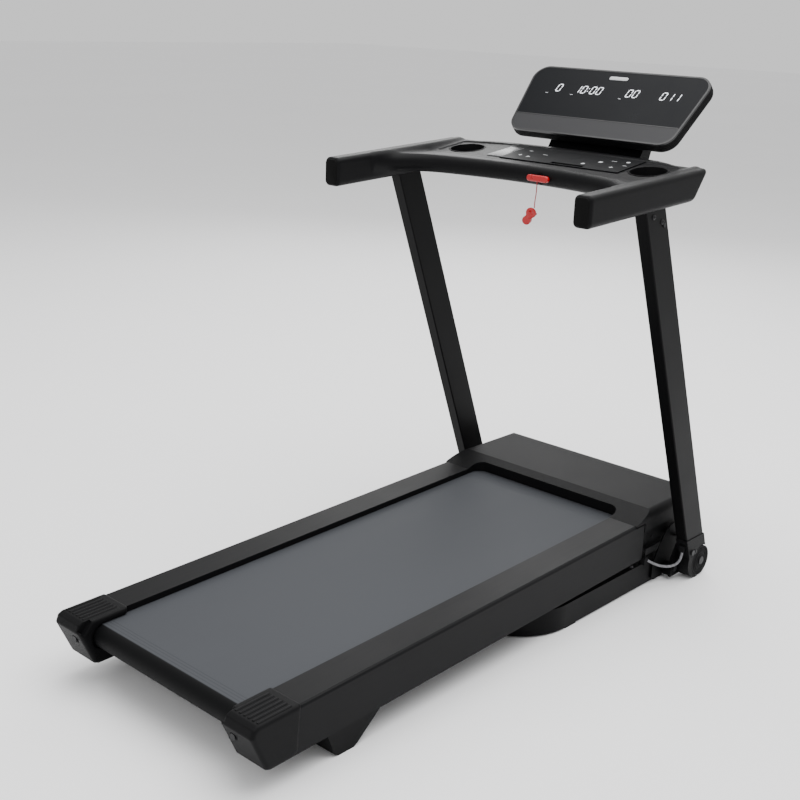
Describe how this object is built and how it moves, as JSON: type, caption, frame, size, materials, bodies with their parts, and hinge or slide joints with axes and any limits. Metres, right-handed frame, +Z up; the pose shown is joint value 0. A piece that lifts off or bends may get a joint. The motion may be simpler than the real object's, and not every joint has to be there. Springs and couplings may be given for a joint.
{
  "type": "folding treadmill",
  "caption": "Folding home treadmill: low deck with side rails and running belt, leaning uprights, handles, tray console and tilted display.",
  "frame": {"origin": "on the floor under the middle of the machine's length and width", "axes": "+Z up, +Y towards the console and motor hood, +X to the runner's right"},
  "size_m": [0.7268, 1.4976, 1.1896],
  "materials": {
    "frame_paint": "fine satin powder coat",
    "rail_coat": "matt black anodised and painted extrusion",
    "moulded_black": "fine leather-grain moulded plastic",
    "console_black": "smooth satin moulded plastic",
    "belt_weave": "diamond-grain belt",
    "board_face": "phenolic-coated fibreboard",
    "black_rubber": "matt rubber",
    "steel": "turned and zinc plated",
    "black_steel": "blackened bolt heads",
    "gloss_black": "gloss acrylic",
    "band_grey": "satin dark grey strip",
    "bezel_trim": "satin light rim",
    "printed_white": "white printed and lit figures",
    "signal_red": "glossy red",
    "cable_grey": "soft PVC jacket",
    "circuit_green": "solder mask",
    "motor_grey": "enamelled can"
  },
  "bodies": {
    "base": {"base_side_tubes": "frame_paint", "base_corner_bends": "frame_paint", "base_cross_tubes": "frame_paint", "hinge_plates": "frame_paint", "left_upright": "frame_paint", "right_upright": "frame_paint", "upright_boots": "moulded_black", "base_bolts": "black_steel", "base_feet": "black_rubber", "left_handle": "console_black", "right_handle": "console_black", "handle_end_caps": "moulded_black", "console_cross_tube": "frame_paint", "console_top_shell": "console_black", "console_bottom_shell": "console_black", "cup_liners": "moulded_black", "key_panel": "gloss_black", "key_socket": "moulded_black", "display_rear_shell": "moulded_black", "display_bezel": "bezel_trim", "display_glass": "gloss_black", "display_lower_band": "band_grey", "display_board": "circuit_green", "display_neck": "moulded_black", "signal_cable": "cable_grey", "cable_grommets": "black_rubber"},
    "deck": {"left_side_rail": "rail_coat", "right_side_rail": "rail_coat", "rear_end_caps": "moulded_black", "deck_frame_beams": "frame_paint", "deck_cross_members": "frame_paint", "deck_board": "board_face", "board_cushions": "black_rubber", "running_belt": "belt_weave", "roller_axles": "steel", "adjuster_bolts": "black_steel", "drive_belt": "black_rubber", "motor_can": "motor_grey", "motor_bracket": "frame_paint", "controller_board": "circuit_green", "belly_pan": "moulded_black", "motor_hood": "moulded_black", "rear_feet": "moulded_black", "power_inlet": "moulded_black", "hinge_pins": "steel"},
    "front_roller": {"front_roller": "steel", "front_roller_bearings": "steel", "front_roller_pulley": "motor_grey"},
    "rear_roller": {"rear_roller": "steel", "rear_roller_bearings": "steel"},
    "motor_rotor": {"motor_rotor": "steel"},
    "power_rocker": {"power_rocker": "moulded_black"},
    "left_wheel": {"left_wheel": "black_rubber"},
    "right_wheel": {"right_wheel": "black_rubber"},
    "strut_cylinder": {"strut_cylinder": "motor_grey"},
    "strut_rod": {"strut_rod": "steel"},
    "safety_key": {"safety_key": "signal_red", "safety_cord": "signal_red", "safety_clip": "signal_red"},
    "clip_jaw": {"safety_clip_jaw": "signal_red"}
  },
  "joints": [
    {"name": "deck_fold", "type": "hinge", "parent": "base", "child": "deck", "pos_m": [0, 0.63279, 0.1], "axis": [-1, 0, 0], "range_deg": [0, 58]},
    {"name": "front_roller_spin", "type": "hinge", "parent": "deck", "child": "front_roller", "pos_m": [0, 0.56035, 0.13505], "axis": [1, 0, 0], "continuous": true},
    {"name": "rear_roller_spin", "type": "hinge", "parent": "deck", "child": "rear_roller", "pos_m": [0, -0.69132, 0.10621], "axis": [1, 0, 0], "continuous": true},
    {"name": "motor_spin", "type": "hinge", "parent": "deck", "child": "motor_rotor", "pos_m": [0, 0.67346, 0.13146], "axis": [1, 0, 0], "continuous": true},
    {"name": "left_wheel_roll", "type": "hinge", "parent": "base", "child": "left_wheel", "pos_m": [-0.349, 0.65678, 0.04], "axis": [1, 0, 0], "continuous": true},
    {"name": "right_wheel_roll", "type": "hinge", "parent": "base", "child": "right_wheel", "pos_m": [0.349, 0.65678, 0.04], "axis": [1, 0, 0], "continuous": true},
    {"name": "strut_swing", "type": "hinge", "parent": "base", "child": "strut_cylinder", "pos_m": [0, 0.54778, 0.042], "axis": [-1, 0, 0], "range_deg": [0, 62.54]},
    {"name": "strut_extend", "type": "slide", "parent": "strut_cylinder", "child": "strut_rod", "axis": [0, -0.9998, 0.0222], "range_m": [0, 0.09182]},
    {"name": "power_switch", "type": "hinge", "parent": "deck", "child": "power_rocker", "pos_m": [-0.136, 0.73838, 0.145], "axis": [1, 0, 0], "range_deg": [-7, 7]},
    {"name": "safety_key_pull", "type": "slide", "parent": "base", "child": "safety_key", "axis": [0, -1, 0], "range_m": [0, 0.03]},
    {"name": "clip_open", "type": "hinge", "parent": "safety_key", "child": "clip_jaw", "pos_m": [0.02726, 0.30418, 0.88474], "axis": [0.7969, 0.342, -0.498], "range_deg": [0, 14], "stiffness_Nm_per_rad": 0.2}
  ],
  "couplings": [
    {"joint": "rear_roller_spin", "follows": "front_roller_spin", "ratio": 1},
    {"joint": "motor_spin", "follows": "front_roller_spin", "ratio": 2.5714},
    {"joint": "strut_swing", "follows": "deck_fold", "ratio": 1.0782},
    {"joint": "strut_extend", "follows": "deck_fold", "m_per_rad": 0.090698}
  ]
}
